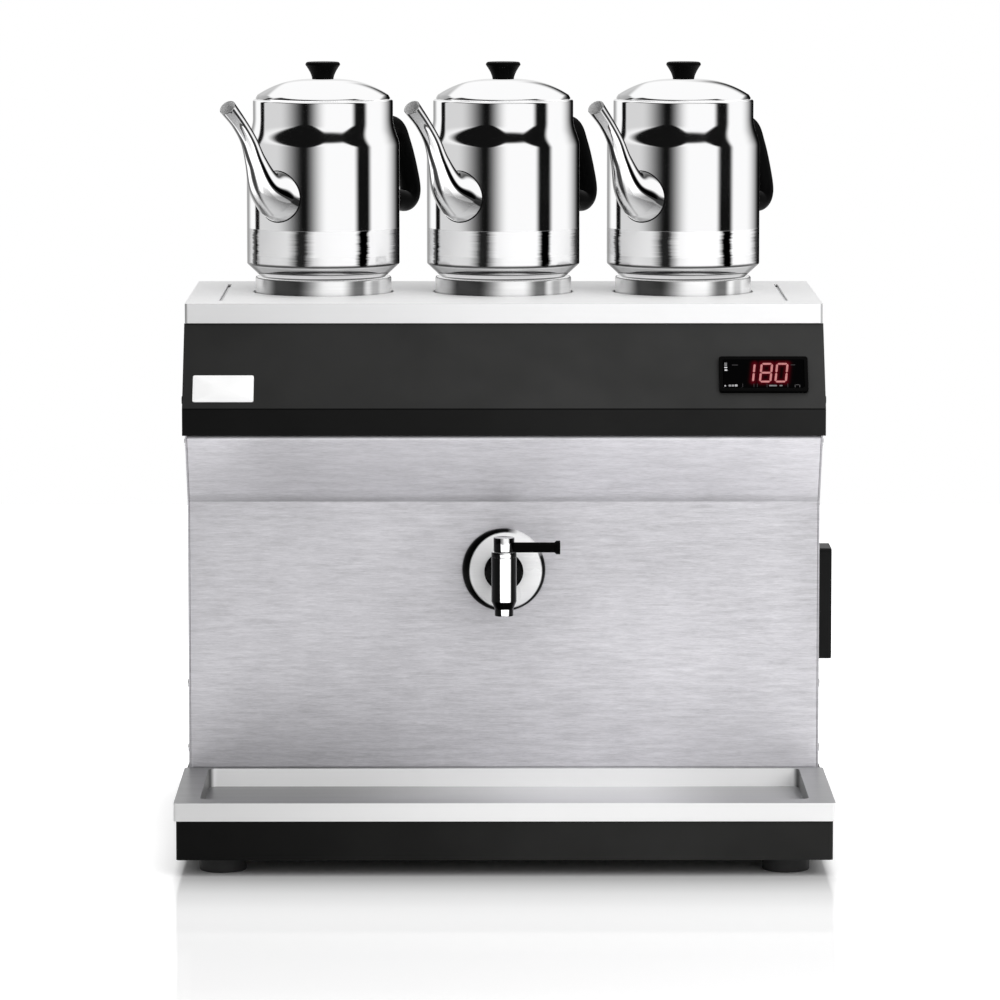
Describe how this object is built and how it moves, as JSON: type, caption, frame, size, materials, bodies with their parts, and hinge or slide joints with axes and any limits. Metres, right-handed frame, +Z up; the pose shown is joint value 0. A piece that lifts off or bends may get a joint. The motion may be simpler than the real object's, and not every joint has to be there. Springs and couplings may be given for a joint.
{
  "type": "commercial tea maker",
  "caption": "Counter-top tea boiler with a sloped control head, a front tap, a drip tray and lift-off gooseneck teapots that stand in heated collars on top.",
  "frame": {"origin": "middle of the footprint from left to right and from the tray's front to the water inlet's end, on the floor under the feet", "axes": "+Z up, -Y to the front where the tap and drip tray are, +X to the right seen from the front"},
  "size_m": [0.568, 0.483, 0.6744],
  "materials": {
    "brushed_steel": "brushed",
    "satin_steel": "satin",
    "polished_steel": "polished",
    "tank_steel": "satin",
    "chrome": "polished",
    "black_paint": "satin",
    "black_plastic": "satin",
    "dark_window": "gloss",
    "foot_rubber": "matte",
    "brass": "satin",
    "heater_sheath": "satin",
    "gasket_rubber": "matte",
    "white_plastic": "matte"
  },
  "bodies": {
    "machine": {"base_plinth": "black_paint", "feet": "foot_rubber", "foot_studs": "tank_steel", "front_panel": "brushed_steel", "left_side_panel": "brushed_steel", "right_side_panel": "brushed_steel", "rear_panel": "brushed_steel", "top_plate": "satin_steel", "control_fascia": "black_paint", "boiler_tank": "tank_steel", "tank_lid": "tank_steel", "tank_supports": "tank_steel", "pot_collars": "polished_steel", "heater_plugs": "brass", "heater_loops": "heater_sheath", "heater_gaskets": "gasket_rubber", "heater_nuts": "brass", "heater_cover": "black_paint", "temperature_probe": "tank_steel", "probe_gland": "brass", "safety_cutout": "white_plastic", "contactor": "black_plastic", "contactor_rail": "tank_steel", "terminal_block": "white_plastic", "cable_gland": "black_plastic", "water_inlet": "tank_steel", "tap_body": "chrome", "tap_escutcheon": "chrome", "tap_gland_nut": "chrome", "tap_tail_nut": "brass", "tap_gaskets": "gasket_rubber", "controller_bezel": "black_plastic", "controller_window": "dark_window", "controller_case": "black_plastic", "controller_clips": "tank_steel", "case_screws": "tank_steel", "black_screws": "black_paint"},
    "drip_tray": {"drip_tray": "brushed_steel"},
    "tap_lever": {"tap_plug": "brass", "tap_lever_hub": "chrome", "tap_lever_rod": "black_plastic"},
    "pot_1": {"pot_body_1": "polished_steel", "pot_spout_1": "polished_steel", "pot_handle_1": "black_plastic", "handle_ferrules_1": "polished_steel"},
    "lid_1": {"pot_lid_1": "polished_steel", "lid_knob_1": "black_plastic"},
    "pot_2": {"pot_body_2": "polished_steel", "pot_spout_2": "polished_steel", "pot_handle_2": "black_plastic", "handle_ferrules_2": "polished_steel"},
    "lid_2": {"pot_lid_2": "polished_steel", "lid_knob_2": "black_plastic"},
    "pot_3": {"pot_body_3": "polished_steel", "pot_spout_3": "polished_steel", "pot_handle_3": "black_plastic", "handle_ferrules_3": "polished_steel"},
    "lid_3": {"pot_lid_3": "polished_steel", "lid_knob_3": "black_plastic"}
  },
  "joints": [
    {"name": "tap_lever_turn", "type": "hinge", "parent": "machine", "child": "tap_lever", "pos_m": [0, -0.0945, 0.2375], "axis": [0, 0, 1], "range_deg": [-90, 0]},
    {"name": "drip_tray_lift", "type": "slide", "parent": "machine", "child": "drip_tray", "axis": [0, 0, 1], "range_m": [0, 0.06]},
    {"name": "pot_1_lift", "type": "slide", "parent": "machine", "child": "pot_1", "axis": [0, 0, 1], "range_m": [0, 0.12]},
    {"name": "lid_1_lift", "type": "slide", "parent": "pot_1", "child": "lid_1", "axis": [0, 0, 1], "range_m": [0, 0.08]},
    {"name": "pot_2_lift", "type": "slide", "parent": "machine", "child": "pot_2", "axis": [0, 0, 1], "range_m": [0, 0.12]},
    {"name": "lid_2_lift", "type": "slide", "parent": "pot_2", "child": "lid_2", "axis": [0, 0, 1], "range_m": [0, 0.08]},
    {"name": "pot_3_lift", "type": "slide", "parent": "machine", "child": "pot_3", "axis": [0, 0, 1], "range_m": [0, 0.12]},
    {"name": "lid_3_lift", "type": "slide", "parent": "pot_3", "child": "lid_3", "axis": [0, 0, 1], "range_m": [0, 0.08]}
  ]
}
